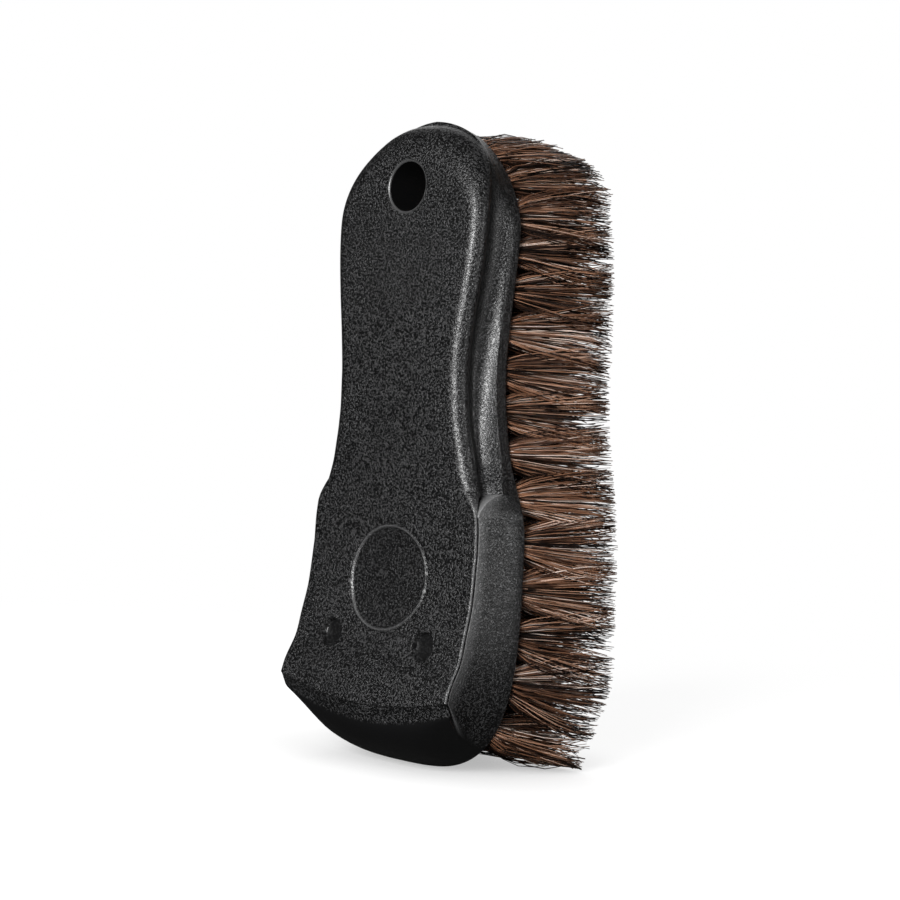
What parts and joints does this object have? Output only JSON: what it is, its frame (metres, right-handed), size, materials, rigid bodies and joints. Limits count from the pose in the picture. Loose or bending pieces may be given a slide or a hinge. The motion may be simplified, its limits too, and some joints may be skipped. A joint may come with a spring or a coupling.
{
  "type": "leather cleaning brush",
  "caption": "Moulded grip brush with a hang hole, finger grooves and a wide kicked-up head, and rows of stiff horsehair tufts set in blind holes in its face.",
  "frame": {"origin": "centre of the bounding box's base, where the head end stands", "axes": "+Z along the brush from the head end to the grip end, +Y the way the hair points, +X across the brush"},
  "size_m": [0.072, 0.0542, 0.1631],
  "materials": {
    "handle_block": "fine pebbled texture",
    "tuft_01_1": "mixed brown horsehair",
    "tuft_01_2": "mixed brown horsehair",
    "tuft_02_1": "mixed brown horsehair",
    "tuft_02_2": "mixed brown horsehair",
    "tuft_03_1": "mixed brown horsehair",
    "tuft_03_2": "mixed brown horsehair",
    "tuft_03_3": "mixed brown horsehair",
    "tuft_03_4": "mixed brown horsehair",
    "tuft_04_1": "mixed brown horsehair",
    "tuft_04_2": "mixed brown horsehair",
    "tuft_04_3": "mixed brown horsehair",
    "tuft_04_4": "mixed brown horsehair",
    "tuft_05_1": "mixed brown horsehair",
    "tuft_05_2": "mixed brown horsehair",
    "tuft_05_3": "mixed brown horsehair",
    "tuft_05_4": "mixed brown horsehair",
    "tuft_06_1": "mixed brown horsehair",
    "tuft_06_2": "mixed brown horsehair",
    "tuft_06_3": "mixed brown horsehair",
    "tuft_06_4": "mixed brown horsehair",
    "tuft_07_1": "mixed brown horsehair",
    "tuft_07_2": "mixed brown horsehair",
    "tuft_07_3": "mixed brown horsehair",
    "tuft_07_4": "mixed brown horsehair",
    "tuft_08_1": "mixed brown horsehair",
    "tuft_08_2": "mixed brown horsehair",
    "tuft_08_3": "mixed brown horsehair",
    "tuft_08_4": "mixed brown horsehair",
    "tuft_09_1": "mixed brown horsehair",
    "tuft_09_2": "mixed brown horsehair",
    "tuft_09_3": "mixed brown horsehair",
    "tuft_09_4": "mixed brown horsehair",
    "tuft_10_1": "mixed brown horsehair",
    "tuft_10_2": "mixed brown horsehair",
    "tuft_10_3": "mixed brown horsehair",
    "tuft_10_4": "mixed brown horsehair",
    "tuft_10_5": "mixed brown horsehair",
    "tuft_11_1": "mixed brown horsehair",
    "tuft_11_2": "mixed brown horsehair",
    "tuft_11_3": "mixed brown horsehair",
    "tuft_11_4": "mixed brown horsehair",
    "tuft_11_5": "mixed brown horsehair",
    "tuft_12_1": "mixed brown horsehair",
    "tuft_12_2": "mixed brown horsehair",
    "tuft_12_3": "mixed brown horsehair",
    "tuft_12_4": "mixed brown horsehair",
    "tuft_12_5": "mixed brown horsehair",
    "tuft_13_1": "mixed brown horsehair",
    "tuft_13_2": "mixed brown horsehair",
    "tuft_13_3": "mixed brown horsehair",
    "tuft_13_4": "mixed brown horsehair",
    "tuft_13_5": "mixed brown horsehair",
    "tuft_14_1": "mixed brown horsehair",
    "tuft_14_2": "mixed brown horsehair",
    "tuft_14_3": "mixed brown horsehair",
    "tuft_14_4": "mixed brown horsehair",
    "tuft_end_1": "mixed brown horsehair",
    "tuft_end_2": "mixed brown horsehair",
    "tuft_end_3": "mixed brown horsehair"
  },
  "bodies": {
    "root": {"handle_block": "handle_block", "tuft_01_1": "tuft_01_1", "tuft_01_2": "tuft_01_2", "tuft_02_1": "tuft_02_1", "tuft_02_2": "tuft_02_2", "tuft_03_1": "tuft_03_1", "tuft_03_2": "tuft_03_2", "tuft_03_3": "tuft_03_3", "tuft_03_4": "tuft_03_4", "tuft_04_1": "tuft_04_1", "tuft_04_2": "tuft_04_2", "tuft_04_3": "tuft_04_3", "tuft_04_4": "tuft_04_4", "tuft_05_1": "tuft_05_1", "tuft_05_2": "tuft_05_2", "tuft_05_3": "tuft_05_3", "tuft_05_4": "tuft_05_4", "tuft_06_1": "tuft_06_1", "tuft_06_2": "tuft_06_2", "tuft_06_3": "tuft_06_3", "tuft_06_4": "tuft_06_4", "tuft_07_1": "tuft_07_1", "tuft_07_2": "tuft_07_2", "tuft_07_3": "tuft_07_3", "tuft_07_4": "tuft_07_4", "tuft_08_1": "tuft_08_1", "tuft_08_2": "tuft_08_2", "tuft_08_3": "tuft_08_3", "tuft_08_4": "tuft_08_4", "tuft_09_1": "tuft_09_1", "tuft_09_2": "tuft_09_2", "tuft_09_3": "tuft_09_3", "tuft_09_4": "tuft_09_4", "tuft_10_1": "tuft_10_1", "tuft_10_2": "tuft_10_2", "tuft_10_3": "tuft_10_3", "tuft_10_4": "tuft_10_4", "tuft_10_5": "tuft_10_5", "tuft_11_1": "tuft_11_1", "tuft_11_2": "tuft_11_2", "tuft_11_3": "tuft_11_3", "tuft_11_4": "tuft_11_4", "tuft_11_5": "tuft_11_5", "tuft_12_1": "tuft_12_1", "tuft_12_2": "tuft_12_2", "tuft_12_3": "tuft_12_3", "tuft_12_4": "tuft_12_4", "tuft_12_5": "tuft_12_5", "tuft_13_1": "tuft_13_1", "tuft_13_2": "tuft_13_2", "tuft_13_3": "tuft_13_3", "tuft_13_4": "tuft_13_4", "tuft_13_5": "tuft_13_5", "tuft_14_1": "tuft_14_1", "tuft_14_2": "tuft_14_2", "tuft_14_3": "tuft_14_3", "tuft_14_4": "tuft_14_4", "tuft_end_1": "tuft_end_1", "tuft_end_2": "tuft_end_2", "tuft_end_3": "tuft_end_3"}
  },
  "joints": []
}
